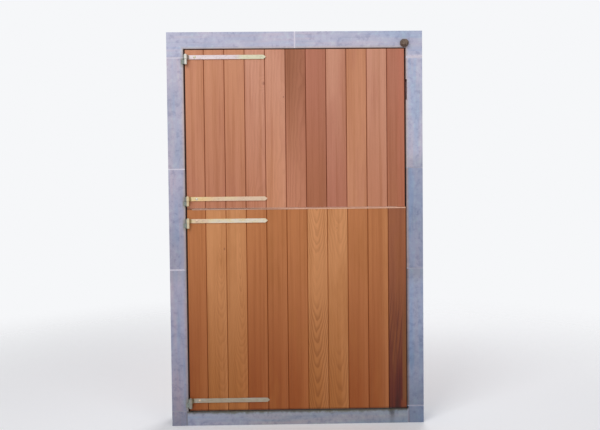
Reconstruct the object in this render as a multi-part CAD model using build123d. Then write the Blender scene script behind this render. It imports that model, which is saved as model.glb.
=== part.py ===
from build123d import *
import math
import os

# Two-leaf stable door in a bluestone surround, in millimetres.
# +Z is up, the outside face looks along -Y, and +X is to the right seen from outside.
# The origin is the middle of the surround's base, at half its depth.
# Each leaf is vertical tongue-and-groove boards on ledges and braces, hung on two strap hinges
# that turn on pintles let into the left jamb.

# Stone surround
opening_w = 1320.0          # between the front arrises of the jambs
opening_h = 2170.0          # threshold to lintel at the front
stone_face = 100.0          # face width of the jambs and height of the lintel
stone_depth = 180.0
threshold_h = 85.0
rebate_w = 22.0             # how far the rear of the stones stands in behind the leaves
arris = 1.5                 # eased front edges of each stone
mortar_joint = 5.0
mortar_recess = 2.0         # mortar stands back from the stone face
ear_drop = 48.0             # lintel's down-turned ears, below the opening's top
right_ear_joint = 12.0      # the thick joint under the right ear
left_joint_heights = (943.0, 1545.0)    # middle of each bed joint above the base
right_joint_heights = (938.0, 1541.0)
sill_bearing_left = 8.0     # the threshold runs this far under the left jamb
sill_bearing_right = 2.0
right_plinth_rise = 16.0    # the right plinth stands above the threshold
notch_width = 8.0           # cut in the right jamb's arris
notch_depth = 30.0
notch_drop = 187.0          # its top, below the opening's top
notch_length = 121.0

# Leaves in the opening
board_t = 21.0
face_setback = 2.0          # board face behind the stone face
heel_clear = 0.3            # the leaf's heel clears the rebate by this as it swings
hinge_gap = 8.0             # leaf edge to the left jamb
free_gap_upper = 8.0        # leaf edge to the right jamb
free_gap_lower = 3.0
top_gap = 5.0
meeting_gap = 5.0
bottom_gap = 6.0
upper_leaf_h = 940.0

# Boards
board_count = 11
upper_first_trim = 11.0     # ripped off the first and last boards to fit the leaf
upper_last_trim = 16.0
lower_first_trim = 11.0
lower_last_trim = 15.0
v_chamfer = 3.0
board_joint = 1.0           # shoulders stand this far apart
tongue_t = 6.0
tongue_l = 8.0
tongue_back = 1.0           # its middle behind the board's
tongue_ease = 1.5
tongue_play = 0.2           # on each cheek of the tongue
tongue_end_play = 1.0

# Ledges and braces
ledge_w = 95.0
ledge_t = 28.0
ledge_chamfer = 6.0
ledge_clear = 8.0           # ledges clear the rear reveals by this
brace_w = 95.0
brace_inset = 40.0          # brace feet stand in from the ledge ends

# Strap hinges
strap_w = 25.0
strap_t = 6.0
strap_l = 475.0             # pin axis to tip
strap_point = 15.0          # the strap tapers to its tip over this length
strap_edge = 0.8
pin_d = 16.0
eye_play = 0.05             # radial running clearance on the pin
roll_gap = 0.6              # the roll's end stops short of the flat
axis_from_arris = 15.0
upper_top_strap_drop = 44.0     # strap middles from the leaf's own edges
upper_bottom_strap_rise = 56.0
lower_top_strap_drop = 68.5
lower_bottom_strap_rise = 61.5

# Pintles
collar_shoulder = 2.0       # collar stands out from the pin
collar_h = 30.0
bearing_gap = 0.2           # eye above collar
pin_rise = 5.0              # pin above the eye
pin_nose = 1.5
tang_h = 24.0
tang_drop = 2.0             # tang's top below the collar's
tang_t = 6.0
tang_l = 95.0
tang_angle = 30.0           # from the stone face
tang_flare = 6.0            # fish-tail end, each side
tang_notch = 18.0
pocket_play = 2.0           # seal round the tang
pocket_end = 5.0

# Coach bolts beside the eyes, through strap, board and ledge
bolt_from_axis = 52.0
bolt_d = 6.0
bolt_head_d = 16.0
bolt_head_h = 3.5
bolt_neck_l = 4.0
bolt_neck_play = 0.2
bolt_hole_play = 0.3        # radial, in the timber
bolt_point = 4.0            # thread past the nut
nut_af = 10.0
nut_h = 5.0
nut_play = 0.05             # radial, on the shank
washer_w = 20.0             # square plate washer
washer_t = 2.0

# Countersunk screw holes along the rest of each strap
screws_per_strap = 3
first_screw = 182.0         # from the pin axis
last_screw_back = 33.0      # from the tip
screw_hole_d = 5.5          # at the strap's back
screw_head_d = 10.5         # at its face

# Capping strip on the lower leaf's top edge
cap_t = 2.0
cap_front_h = 5.0
cap_start = 30.0            # short of the hinge edge

# Sliding bolts on the inside of the leaves
rod_d = 12.0
rod_l = 190.0
rod_play = 0.05             # radial, in its ears
rod_nose = 1.5
rod_standoff = 2.0          # rod above its plate
rod_back = 8.0              # drawn rod ends this far from the reveal
rod_throw = 35.0
keep_play = 2.0             # radial, in the stone
keep_spare = 18.0
plate_l = 134.0
plate_w = 46.0
plate_t = 3.0
plate_corner = 5.0
plate_end = 22.0           # plate's free end from the rear reveal
ear_t = 5.0
ear_wall = 6.0
ear_corner = 5.0            # cut off the ears' free corners
ear_inset = 8.0
lever_d = 8.0
lever_l = 34.0
lever_knob_d = 14.0
lever_knob_h = 13.0
lever_knob_ease = 3.5
lever_from_ear = 14.0       # drawn lever to the near ear

# Iron stud on the lintel
stud_w = 50.0
stud_h = 44.0
stud_rise = 26.0
stud_base = 10.0            # straight part of the head, against the stone
stud_taper = 24.0           # degrees, each side
stud_corner = 12.0          # cut off each corner of the head
stud_from_arris = 7.0       # stud's middle inside the right arris
stud_above = 27.0           # stud's middle above the opening's top
stud_shank_d = 16.0
stud_shank_l = 60.0
stud_shank_play = 0.1

# For the shaping itself
over = 1.0                  # cutters run this far past the faces they open
same = 0.01                 # an edge this near a plane lies in it

# Places worked out from the sizes
front = -stone_depth / 2
back = stone_depth / 2
half_opening = opening_w / 2
outer_x = half_opening + stone_face
opening_top = threshold_h + opening_h
surround_top = opening_top + stone_face
board_face = front + face_setback
board_back = board_face + board_t
ledge_back = board_back + ledge_t
reveal_x = half_opening - rebate_w
leaf_left = -half_opening + hinge_gap
upper_right = half_opening - free_gap_upper
lower_right = half_opening - free_gap_lower
upper_top = opening_top - top_gap
upper_bottom = upper_top - upper_leaf_h
lower_bottom = threshold_h + bottom_gap
lower_top = upper_bottom - meeting_gap - cap_t
eye_r = pin_d / 2 + eye_play
eye_outer_r = eye_r + strap_t
axis_x = -half_opening + axis_from_arris
axis_y = board_face - eye_outer_r
heel = (axis_x - leaf_left, board_back - axis_y)
rebate_y = board_back + math.hypot(*heel) - heel[1] + heel_clear
collar_r = pin_d / 2 + collar_shoulder
strap_heights = {
    "upper_top": upper_top - upper_top_strap_drop,
    "upper_bottom": upper_bottom + upper_bottom_strap_rise,
    "lower_top": lower_top - lower_top_strap_drop,
    "lower_bottom": lower_bottom + lower_bottom_strap_rise,
}
bolt_x = axis_x + bolt_from_axis
screw_pitch = (strap_l - first_screw - last_screw_back) / (screws_per_strap - 1)
screw_xs = [axis_x + first_screw + n * screw_pitch for n in range(screws_per_strap)]
rod_y = ledge_back + plate_t + rod_standoff + rod_d / 2


def prism_z(points, z0, z1):
    """Upright prism on an outline of (x, y) points."""
    outline = Polyline(*[(x, y, z0) for x, y in points], close=True)
    return extrude(make_face(outline), amount=z1 - z0, dir=(0, 0, 1))


def prism_y(points, y0, y1):
    """Prism from front to back on an outline of (x, z) points."""
    outline = Polyline(*[(x, y0, z) for x, z in points], close=True)
    return extrude(make_face(outline), amount=y1 - y0, dir=(0, 1, 0))


def block(low, high):
    """Box between two corners."""
    size = [b - a for a, b in zip(low, high)]
    middle = [(a + b) / 2 for a, b in zip(low, high)]
    return Pos(*middle) * Box(*size)


def round_bar(start, direction, radius, length):
    """Cylinder from a point along a direction."""
    return Plane(origin=start, z_dir=direction) * Cylinder(
        radius, length, align=(Align.CENTER, Align.CENTER, Align.MIN)
    )


def ease_front(stone):
    """Takes the sharpness off the edges round a stone's face."""
    edges = [e for e in stone.edges() if abs(e.center().Y - front) < same]
    return chamfer(edges, arris)


# Stones

def jamb_blank(side, z0, z1):
    """Rebated jamb block: side is -1 for the left, 1 for the right."""
    outline = [
        (side * outer_x, front),
        (side * half_opening, front),
        (side * half_opening, rebate_y),
        (side * reveal_x, rebate_y),
        (side * reveal_x, back),
        (side * outer_x, back),
    ]
    return ease_front(prism_z(outline, z0, z1))


def lintel_outline(side, inner_x, soffit, ear_bottom):
    """Half of the lintel with its ear, seen from the front."""
    return [
        (side * mortar_joint / 2, soffit),
        (side * inner_x, soffit),
        (side * inner_x, ear_bottom),
        (side * outer_x, ear_bottom),
        (side * outer_x, surround_top),
        (side * mortar_joint / 2, surround_top),
    ]


def lintel_half(side):
    """L-shaped lintel stone: the rebate turns the corner with it."""
    ear_bottom = opening_top - ear_drop
    face = prism_y(lintel_outline(side, half_opening, opening_top, ear_bottom), front, rebate_y)
    rear = prism_y(
        lintel_outline(side, reveal_x, opening_top - rebate_w, ear_bottom), rebate_y, back
    )
    return ease_front(face) + rear


def tang_frame(z):
    """Plane at a pintle's axis: X along the tang into the jamb, Y up, Z across the tang."""
    angle = math.radians(tang_angle)
    return Plane(
        origin=(axis_x, axis_y, z),
        x_dir=(-math.cos(angle), math.sin(angle), 0),
        z_dir=(-math.sin(angle), -math.cos(angle), 0),
    )


def tang_middle(strap_z):
    """Height of the middle of a strap's tang, near the top of the collar."""
    return strap_z - strap_w / 2 - bearing_gap - tang_drop - tang_h / 2


def pocket(strap_z):
    """Slot in the jamb for one tang and its seal, wider where the tang splits."""
    mouth_h = tang_h + 2 * pocket_play
    tail_h = mouth_h + 2 * tang_flare
    tail_l = tang_notch + tang_flare + pocket_end
    thickness = tang_t + 2 * pocket_play
    length = tang_l + pocket_end
    frame = tang_frame(tang_middle(strap_z))
    mouth = Pos(length / 2, 0, 0) * Box(length, mouth_h, thickness)
    tail = Pos(length - tail_l / 2, 0, 0) * Box(tail_l, tail_h, thickness)
    return frame * (mouth + tail)


def jamb_spans(joints, foot, ear_joint):
    """Bottom and top of each of the three blocks in a jamb."""
    half = mortar_joint / 2
    low, high = joints
    ear_bottom = opening_top - ear_drop
    return [(foot, low - half), (low + half, high - half), (high + half, ear_bottom - ear_joint)]


def keep_hole(z):
    """Blind hole in the right reveal for a sliding bolt."""
    start = (reveal_x - over, rod_y, z)
    depth = rod_throw - rod_back + keep_spare + over
    return round_bar(start, (1, 0, 0), rod_d / 2 + keep_play, depth)


def notch():
    """The cut in the right jamb's arris."""
    top = opening_top - notch_drop
    return block(
        (half_opening - over, front - over, top - notch_length),
        (half_opening + notch_width, front + notch_depth, top),
    )


def stud_middle():
    return (half_opening - stud_from_arris, front, opening_top + stud_above)


def stone_nodes():
    """All stones, the mortar between them and the seals in the tangs' pockets."""
    left_foot = threshold_h + mortar_joint
    right_foot = threshold_h + right_plinth_rise + mortar_joint
    left_spans = jamb_spans(left_joint_heights, left_foot, mortar_joint)
    right_spans = jamb_spans(right_joint_heights, right_foot, right_ear_joint)
    names = ("lower", "middle", "upper")
    nodes = {}
    seals = []
    for name, (z0, z1) in zip(names, left_spans):
        stone = jamb_blank(-1, z0, z1)
        for key, z in strap_heights.items():
            if z0 < tang_middle(z) < z1:
                slot = pocket(z)
                seals.append((stone & slot) - tang(z))
                stone -= slot
        nodes[f"left_jamb_{name}"] = stone
    for name, (z0, z1) in zip(names, right_spans):
        stone = jamb_blank(1, z0, z1)
        for z in (bolt_height("upper"), bolt_height("lower")):
            if z0 < z < z1:
                stone -= keep_hole(z)
        if name == "upper":
            stone -= notch()
        nodes[f"right_jamb_{name}"] = stone
    nodes["lintel_left"] = lintel_half(-1)
    shank = round_bar(stud_middle(), (0, 1, 0), stud_shank_d / 2 + stud_shank_play, stud_shank_l)
    nodes["lintel_right"] = lintel_half(1) - shank
    sill_left = -half_opening - sill_bearing_left
    sill_right = half_opening + sill_bearing_right
    plinth_top = threshold_h + right_plinth_rise
    nodes["threshold"] = ease_front(block((sill_left, front, 0), (sill_right, back, threshold_h)))
    nodes["left_plinth"] = ease_front(
        block((-outer_x, front, 0), (sill_left - mortar_joint, back, threshold_h))
    )
    nodes["right_plinth"] = ease_front(
        block((sill_right + mortar_joint, front, 0), (outer_x, back, plinth_top))
    )
    nodes["mortar_joints"] = mortar(left_spans, right_spans, sill_left, sill_right) + seals
    return nodes


def bed_joint(side, z0, z1):
    """Mortar between two jamb blocks: the jamb's outline, standing back from its faces."""
    face = front + mortar_recess
    outline = [
        (side * outer_x, face),
        (side * (half_opening + mortar_recess), face),
        (side * (half_opening + mortar_recess), rebate_y + mortar_recess),
        (side * (reveal_x + mortar_recess), rebate_y + mortar_recess),
        (side * (reveal_x + mortar_recess), back),
        (side * outer_x, back),
    ]
    return prism_z(outline, z0, z1)


def lintel_joint():
    """Upright mortar joint between the lintel halves, stepped up over the rebate."""
    half = mortar_joint / 2
    front_soffit = opening_top + mortar_recess
    rear_soffit = front_soffit - rebate_w
    step_y = rebate_y + mortar_recess
    joint = block((-half, front + mortar_recess, front_soffit), (half, step_y, surround_top))
    return joint + block((-half, step_y, rear_soffit), (half, back, surround_top))


def mortar(left_spans, right_spans, sill_left, sill_right):
    """Every joint between the stones."""
    face = front + mortar_recess
    ear_bottom = opening_top - ear_drop
    joints = [lintel_joint()]
    for side, spans, foot in ((-1, left_spans, threshold_h),
                              (1, right_spans, threshold_h + right_plinth_rise)):
        tops = [foot] + [z1 for z0, z1 in spans]
        bottoms = [z0 for z0, z1 in spans] + [ear_bottom]
        joints += [bed_joint(side, low, high) for low, high in zip(tops, bottoms)]
    joints.append(block((sill_left - mortar_joint, face, 0), (sill_left, back, threshold_h)))
    joints.append(block((sill_right, face, 0), (sill_right + mortar_joint, back, threshold_h)))
    return joints


# Leaves

def board_edges(first_trim, last_trim, right):
    """Face edges of the boards in a leaf: cover widths with the outer two ripped narrower."""
    cover = (right - leaf_left + first_trim + last_trim) / board_count
    inner = [leaf_left - first_trim + n * cover for n in range(1, board_count)]
    return [leaf_left] + inner + [right]


def board(x0, x1, has_groove, has_tongue):
    """Outline of one board: V joints on the face, groove on the left, tongue on the right."""
    middle = (board_face + board_back) / 2 + tongue_back
    tongue_low = middle - tongue_t / 2
    tongue_high = middle + tongue_t / 2
    left = x0 + (board_joint / 2 if has_groove else 0)
    right = x1 - (board_joint / 2 if has_tongue else 0)
    left_v = v_chamfer if has_groove else arris
    right_v = v_chamfer if has_tongue else arris
    points = [(left + left_v, board_face), (right - right_v, board_face),
              (right, board_face + right_v)]
    if has_tongue:
        tip = right + tongue_l
        points += [(right, tongue_low), (tip - tongue_ease, tongue_low),
                   (tip, tongue_low + tongue_ease), (tip, tongue_high - tongue_ease),
                   (tip - tongue_ease, tongue_high), (right, tongue_high)]
    points += [(right, board_back), (left, board_back)]
    if has_groove:
        deep = left + tongue_l - board_joint + tongue_end_play
        points += [(left, tongue_high + tongue_play), (deep, tongue_high + tongue_play),
                   (deep, tongue_low - tongue_play), (left, tongue_low - tongue_play)]
    points.append((left, board_face + left_v))
    return points


def leaf_boards(leaf, edges, bottom, top, holes):
    """The boards of one leaf, drilled where the coach bolts pass."""
    nodes = {}
    last = len(edges) - 2
    for n, (x0, x1) in enumerate(zip(edges, edges[1:])):
        solid = prism_z(board(x0, x1, n > 0, n < last), bottom, top)
        for x, z, radius in holes:
            if x0 - radius < x < x1 + radius + tongue_l:
                start = (x, board_face - over, z)
                solid -= round_bar(start, (0, 1, 0), radius, board_t + 2 * over)
        nodes[f"{leaf}_board_{n + 1:02d}"] = solid
    return nodes


def ledge(middle_z, holes):
    """Cross ledge with eased back edges, drilled for the bolts of its strap."""
    half_l = reveal_x - ledge_clear
    z0 = middle_z - ledge_w / 2
    z1 = middle_z + ledge_w / 2
    solid = block((-half_l, board_back, z0), (half_l, ledge_back, z1))
    along = solid.edges().filter_by(Axis.X)
    solid = chamfer([e for e in along if abs(e.center().Y - ledge_back) < same], ledge_chamfer)
    for x, z, radius in holes:
        if z0 < z < z1:
            start = (x, board_back - over, z)
            solid -= round_bar(start, (0, 1, 0), radius, ledge_t + 2 * over)
    return solid


def brace(low_z, high_z):
    """Diagonal brace from the hinge side up to the free side, cut to fit between two ledges."""
    reach = reveal_x - ledge_clear - brace_inset
    run = 2 * reach - brace_w
    rise = high_z - low_z
    angle = math.degrees(math.atan2(rise, run))
    uncut = 2 * (run + rise)
    middle = (0, (board_back + ledge_back) / 2, (low_z + high_z) / 2)
    bar = Pos(*middle) * Rot(0, -angle, 0) * Box(uncut, ledge_t, brace_w)
    between = block((-reach, board_back, low_z), (reach, ledge_back, high_z))
    return bar & between


def bolt_holes(leaf):
    """Where the coach bolts of a leaf's two straps pass through its timber."""
    radius = bolt_d / 2 + bolt_hole_play
    return [(bolt_x, z, radius) for name, z in strap_heights.items() if name.startswith(leaf)]


def ledge_heights():
    """Middles of the ledges: behind the straps, and one halfway up the lower leaf."""
    highest = opening_top - rebate_w - ledge_clear - ledge_w / 2
    lower_pair = (strap_heights["lower_bottom"], strap_heights["lower_top"])
    return {
        "upper_top_ledge": min(strap_heights["upper_top"], highest),
        "upper_bottom_ledge": strap_heights["upper_bottom"],
        "lower_top_ledge": lower_pair[1],
        "lower_middle_ledge": sum(lower_pair) / 2,
        "lower_bottom_ledge": lower_pair[0],
    }


def bolt_height(leaf):
    """Height of a leaf's sliding bolt: on the upper leaf's bottom ledge, the lower's middle one."""
    names = {"upper": "upper_bottom_ledge", "lower": "lower_middle_ledge"}
    return ledge_heights()[names[leaf]]


def timber_nodes():
    """Boards, ledges and braces of both leaves."""
    nodes = {}
    upper_edges = board_edges(upper_first_trim, upper_last_trim, upper_right)
    lower_edges = board_edges(lower_first_trim, lower_last_trim, lower_right)
    nodes.update(leaf_boards("upper", upper_edges, upper_bottom, upper_top, bolt_holes("upper")))
    nodes.update(leaf_boards("lower", lower_edges, lower_bottom, lower_top, bolt_holes("lower")))
    heights = ledge_heights()
    for name, z in heights.items():
        nodes[name] = ledge(z, bolt_holes(name.split("_")[0]))
    half = ledge_w / 2
    spans = {
        "upper_brace": ("upper_bottom_ledge", "upper_top_ledge"),
        "lower_bottom_brace": ("lower_bottom_ledge", "lower_middle_ledge"),
        "lower_top_brace": ("lower_middle_ledge", "lower_top_ledge"),
    }
    for name, (low, high) in spans.items():
        nodes[name] = brace(heights[low] + half, heights[high] - half)
    return nodes


# Ironwork

def strap(z):
    """Strap rolled round its pin: one flat bar whose end turns round the front of the pin."""
    z0 = z - strap_w / 2
    z1 = z + strap_w / 2
    axis = Pos(axis_x, axis_y, z)
    ring = Cylinder(eye_outer_r, strap_w) - Cylinder(eye_r, strap_w)
    roll_end = eye_r - roll_gap
    ring -= Pos(eye_outer_r, roll_end + eye_outer_r, 0) * Box(
        2 * eye_outer_r, 2 * eye_outer_r, strap_w
    )
    tip = axis_x + strap_l
    point = tip - strap_point
    flat = prism_y(
        [(axis_x, z0), (point, z0), (tip, z), (point, z1), (axis_x, z1)],
        board_face - strap_t, board_face,
    )
    outer = [e for e in flat.edges() if abs(e.center().Y - board_face + strap_t) < same]
    flat = chamfer([e for e in outer if e.center().X > axis_x + same], strap_edge)
    solid = axis * ring + flat
    side = bolt_d + 2 * bolt_neck_play
    solid -= Pos(bolt_x, board_face - strap_t / 2, z) * Box(side, strap_t + 2 * over, side)
    for x in screw_xs:
        solid -= countersunk_hole(x, z)
    return solid


def countersunk_hole(x, z):
    """Punched screw hole that tapers from the strap's face to its back."""
    lowest = (Align.CENTER, Align.CENTER, Align.MIN)
    sink = Cone(screw_head_d / 2, screw_hole_d / 2, strap_t, align=lowest)
    return Plane(origin=(x, board_face - strap_t, z), z_dir=(0, 1, 0)) * sink


def tang(strap_z):
    """Flat tang with a split, fish-tail end that the seal holds in the stone."""
    h = tang_h / 2
    split = tang_l - tang_notch
    outline = Polyline(
        (0, -h), (split - tang_flare, -h), (tang_l, -h - tang_flare), (split, 0),
        (tang_l, h + tang_flare), (split - tang_flare, h), (0, h), close=True,
    )
    plate = extrude(make_face(outline), amount=tang_t / 2, both=True)
    return tang_frame(tang_middle(strap_z)) * plate


def pintle(strap_z):
    """Pin with a collar that carries the strap's eye, and a tang into the jamb."""
    collar_top = strap_z - strap_w / 2 - bearing_gap
    pin_top = strap_z + strap_w / 2 + pin_rise
    collar = round_bar((axis_x, axis_y, collar_top - collar_h), (0, 0, 1), collar_r, collar_h)
    pin = round_bar((axis_x, axis_y, collar_top), (0, 0, 1), pin_d / 2, pin_top - collar_top)
    pin = chamfer(pin.edges().sort_by(Axis.Z)[-1], pin_nose)
    return collar + pin + tang(strap_z)


def coach_bolt(x, z):
    """Domed bolt with a square neck, as turned from one blank."""
    under_head = board_face - strap_t
    length = strap_t + board_t + ledge_t + washer_t + nut_h + bolt_point
    head_r = bolt_head_d / 2
    dome_r = (head_r ** 2 + bolt_head_h ** 2) / (2 * bolt_head_h)
    halfway = math.asin(head_r / dome_r) / 2
    shoulder = (dome_r * math.sin(halfway), bolt_head_h - dome_r * (1 - math.cos(halfway)))
    dome = make_face([
        ThreePointArc((0, bolt_head_h), shoulder, (head_r, 0)),
        Line((head_r, 0), (0, 0)),
        Line((0, 0), (0, bolt_head_h)),
    ])
    head = revolve(dome, Axis.Y)
    shank = Rot(90, 0, 0) * Cylinder(
        bolt_d / 2, length, align=(Align.CENTER, Align.CENTER, Align.MIN)
    )
    neck = Pos(0, -bolt_neck_l / 2, 0) * Box(bolt_d, bolt_neck_l, bolt_d)
    return Pos(x, under_head, z) * Rot(180, 0, 0) * (head + shank + neck)


def nut_and_washer(x, z):
    """Square washer on the ledge and hexagon nut on the washer, threaded on the bolt's shank."""
    bore = bolt_d / 2 + nut_play
    stack = extrude(Rectangle(washer_w, washer_w) - Circle(bore), amount=washer_t)
    nut = extrude(RegularPolygon(nut_af / 2, 6, major_radius=False) - Circle(bore), amount=nut_h)
    stack += Pos(0, 0, washer_t) * nut
    return Plane(origin=(x, ledge_back, z), z_dir=(0, 1, 0)) * stack


def strap_fixings(leaf):
    """Bolts and nuts of one leaf's straps, as a group of separate pieces."""
    pieces = []
    for x, z, _ in bolt_holes(leaf):
        pieces += [coach_bolt(x, z), nut_and_washer(x, z)]
    return pieces


def capping():
    """Folded strip on the lower leaf's top edge: a flange on top and a lip down the face."""
    start = leaf_left + cap_start
    outline = [
        (board_face, lower_top), (board_face, lower_top + cap_t - cap_front_h),
        (board_face - cap_t, lower_top + cap_t - cap_front_h), (board_face - cap_t, lower_top + cap_t),
        (board_back, lower_top + cap_t), (board_back, lower_top),
    ]
    profile = Polyline(*[(start, y, z) for y, z in outline], close=True)
    return extrude(make_face(profile), amount=lower_right - start, dir=(1, 0, 0))


def sliding_rod(z):
    """Round bolt with a turned-down lever, drawn back at rest."""
    end = reveal_x - rod_back
    rod = round_bar((end - rod_l, rod_y, z), (1, 0, 0), rod_d / 2, rod_l)
    rod = chamfer(rod.edges().filter_by(GeomType.CIRCLE).sort_by(Axis.X)[-1], rod_nose)
    lever_x = first_ear() + ear_t + lever_from_ear
    lever_end = z - rod_d / 2 - lever_l
    lever = round_bar((lever_x, rod_y, z), (0, 0, -1), lever_d / 2, z - lever_end)
    knob = round_bar((lever_x, rod_y, lever_end), (0, 0, -1), lever_knob_d / 2, lever_knob_h)
    foot = knob.edges().filter_by(GeomType.CIRCLE).sort_by(Axis.Z)[0]
    return rod + lever + chamfer(foot, lever_knob_ease)


def first_ear():
    """Left side of the ear nearer the hinges."""
    return reveal_x - plate_end - plate_l + ear_inset


def bolt_guide(z):
    """Plate with two upright ears that the rod slides in."""
    x1 = reveal_x - plate_end
    x0 = x1 - plate_l
    plate = block((x0, ledge_back, z - plate_w / 2), (x1, ledge_back + plate_t, z + plate_w / 2))
    solid = chamfer(plate.edges().filter_by(Axis.Y), plate_corner)
    reach = rod_d / 2 + ear_wall
    for x in (first_ear(), x1 - ear_inset - ear_t):
        ear = block((x, ledge_back, z - reach), (x + ear_t, rod_y + reach, z + reach))
        free = [e for e in ear.edges().filter_by(Axis.X) if e.center().Y > rod_y]
        solid += chamfer(free, ear_corner)
    return solid - round_bar((x0, rod_y, z), (1, 0, 0), rod_d / 2 + rod_play, plate_l)


def iron_stud():
    """Blunt-headed iron stud: an eight-sided head drawn in towards its face, on a round shank."""
    outline = chamfer(Rectangle(stud_w, stud_h).vertices(), stud_corner)
    base = extrude(outline, amount=stud_base)
    crown = Pos(0, 0, stud_base) * extrude(
        outline, amount=stud_rise - stud_base, taper=stud_taper
    )
    shank = round_bar(stud_middle(), (0, 1, 0), stud_shank_d / 2, stud_shank_l)
    return Plane(origin=stud_middle(), x_dir=(1, 0, 0), z_dir=(0, -1, 0)) * (base + crown) + shank


def iron_nodes():
    """Straps, pintles, bolts, capping, sliding bolts and stud."""
    nodes = {}
    for name, z in strap_heights.items():
        nodes[f"{name}_strap"] = strap(z)
        nodes[f"{name}_pintle"] = pintle(z)
    for leaf in ("upper", "lower"):
        nodes[f"{leaf}_coach_bolts"] = strap_fixings(leaf)
        nodes[f"{leaf}_sliding_bolt"] = sliding_rod(bolt_height(leaf))
        nodes[f"{leaf}_bolt_guide"] = bolt_guide(bolt_height(leaf))
    nodes["lower_capping_strip"] = capping()
    nodes["lintel_stud"] = iron_stud()
    return nodes


def write(nodes):
    """One STEP file for each node."""
    os.makedirs("parts", exist_ok=True)
    for name, shape in nodes.items():
        if isinstance(shape, list):
            shape = Compound(children=[s for piece in shape for s in piece.solids()])
        export_step(shape, f"parts/{name}.step")


write({**stone_nodes(), **timber_nodes(), **iron_nodes()})
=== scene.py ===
import math

import bmesh
import bpy
from mathutils import Matrix, Vector

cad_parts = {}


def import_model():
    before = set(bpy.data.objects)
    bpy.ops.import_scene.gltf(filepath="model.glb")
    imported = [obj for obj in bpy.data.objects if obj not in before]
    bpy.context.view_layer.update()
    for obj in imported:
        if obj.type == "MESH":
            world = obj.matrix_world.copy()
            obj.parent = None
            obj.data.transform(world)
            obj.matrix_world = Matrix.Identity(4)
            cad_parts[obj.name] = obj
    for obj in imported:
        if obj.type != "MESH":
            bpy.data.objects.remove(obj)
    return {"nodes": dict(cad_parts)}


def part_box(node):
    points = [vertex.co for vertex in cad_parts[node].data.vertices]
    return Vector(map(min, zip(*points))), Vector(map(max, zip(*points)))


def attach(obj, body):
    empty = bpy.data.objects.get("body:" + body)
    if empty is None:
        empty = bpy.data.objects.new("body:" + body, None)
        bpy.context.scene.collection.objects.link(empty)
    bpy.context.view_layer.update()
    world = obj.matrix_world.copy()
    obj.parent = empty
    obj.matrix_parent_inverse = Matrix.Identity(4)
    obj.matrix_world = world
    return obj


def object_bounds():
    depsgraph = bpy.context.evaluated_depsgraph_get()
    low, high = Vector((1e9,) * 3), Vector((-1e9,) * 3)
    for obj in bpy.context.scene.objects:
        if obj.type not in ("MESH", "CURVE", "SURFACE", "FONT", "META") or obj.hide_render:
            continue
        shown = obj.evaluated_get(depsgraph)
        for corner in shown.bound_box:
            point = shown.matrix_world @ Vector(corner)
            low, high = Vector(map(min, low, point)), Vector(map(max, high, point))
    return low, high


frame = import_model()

# A two-leaf stable door in a bluestone surround, in metres.
# +Z is up, the outside face looks along -Y, and the hinges are at -X.
# The leaves' timber, the stones and the ironwork come with the frame. This script gives them their
# finishes and adds the screws, the nails and the draught brush between the leaves.

cad_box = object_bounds()
NODES = frame["nodes"]
LEAVES = ("upper", "lower")
BOARD_COUNT = 11

# Gaps round the leaves, as they are made
HINGE_GAP = 0.008                               # beside the hinge edges
HEAD_GAP = 0.005                                # above the upper leaf
REBATE_GAP = 0.001                              # behind the boards

# Places read from the frame
FACE_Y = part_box("upper_board_01")[0].y          # boards' outside face
BACK_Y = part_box("upper_board_01")[1].y          # boards' inside face
LEDGE_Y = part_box("upper_top_ledge")[1].y        # ledges' inside face
STONE_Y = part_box("left_jamb_middle")[0].y       # stones' outside face
UPPER_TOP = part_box("upper_board_01")[1].z
UPPER_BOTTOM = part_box("upper_board_01")[0].z
LOWER_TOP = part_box("lower_board_01")[1].z
LOWER_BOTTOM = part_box("lower_board_01")[0].z
RIGHT_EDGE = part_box("lower_board_11")[1].x      # lower leaf's free edge
STAIN_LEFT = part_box("lower_board_11")[0].x      # left edge of the stained board
ARRIS_X = HINGE_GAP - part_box("upper_board_01")[0].x     # right jamb's arris, and -ARRIS_X the left's
LINTEL_BOTTOM = UPPER_TOP + HEAD_GAP
LINTEL_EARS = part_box("right_jamb_upper")[1].z   # undersides of the lintel's ears
THRESHOLD_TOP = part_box("threshold")[1].z
REBATE_Y = BACK_Y + REBATE_GAP                  # face that the leaves close against

# Straps, as they are made
EYE_RADIUS = 0.01405
STRAP_THICKNESS = 0.006
STRAP_SCREWS = (0.182, 0.312, 0.442)            # from the pin's axis
STRAP_ENDS = ("upper_top", "upper_bottom", "lower_top", "lower_bottom")
AXIS_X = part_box("upper_top_strap")[0].x + EYE_RADIUS

BRACE_WIDTH = 0.095
NOTCH_SPAN = (1.947, 2.068)                     # heights of the notch in the right jamb's arris


def board_node(leaf, number):
    """Name of a board, counted from the hinge edge."""
    return f"{leaf}_board_{number:02d}"


def middle_z(node):
    """Height of a node's middle."""
    low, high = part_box(node)
    return (low.z + high.z) / 2


def srgb(red, green, blue):
    """Colour as seen on a screen, 0 to 255, to the linear values that shaders take."""
    def linear(value):
        value /= 255
        return value / 12.92 if value <= 0.04045 else ((value + 0.055) / 1.055) ** 2.4
    return (linear(red), linear(green), linear(blue), 1.0)


# Node building

def plug(tree, node, sockets):
    """Gives inputs, by name or number, a value each or a link from another node's output."""
    for key, value in sockets.items():
        if isinstance(value, bpy.types.NodeSocket):
            tree.links.new(value, node.inputs[key])
        else:
            node.inputs[key].default_value = value


def put(tree, kind, sockets, **settings):
    """Adds a node with its inputs and settings."""
    made = tree.nodes.new(kind)
    for key, value in settings.items():
        setattr(made, key, value)
    plug(tree, made, sockets)
    return made


def calc(tree, operation, a, b=0.0):
    """One sum on one or two values."""
    return put(tree, "ShaderNodeMath", {0: a, 1: b}, operation=operation).outputs[0]


def plus(tree, a, b):
    """a and b added up."""
    return calc(tree, "ADD", a, b)


def less(tree, a, b):
    """b taken from a."""
    return calc(tree, "SUBTRACT", a, b)


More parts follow.
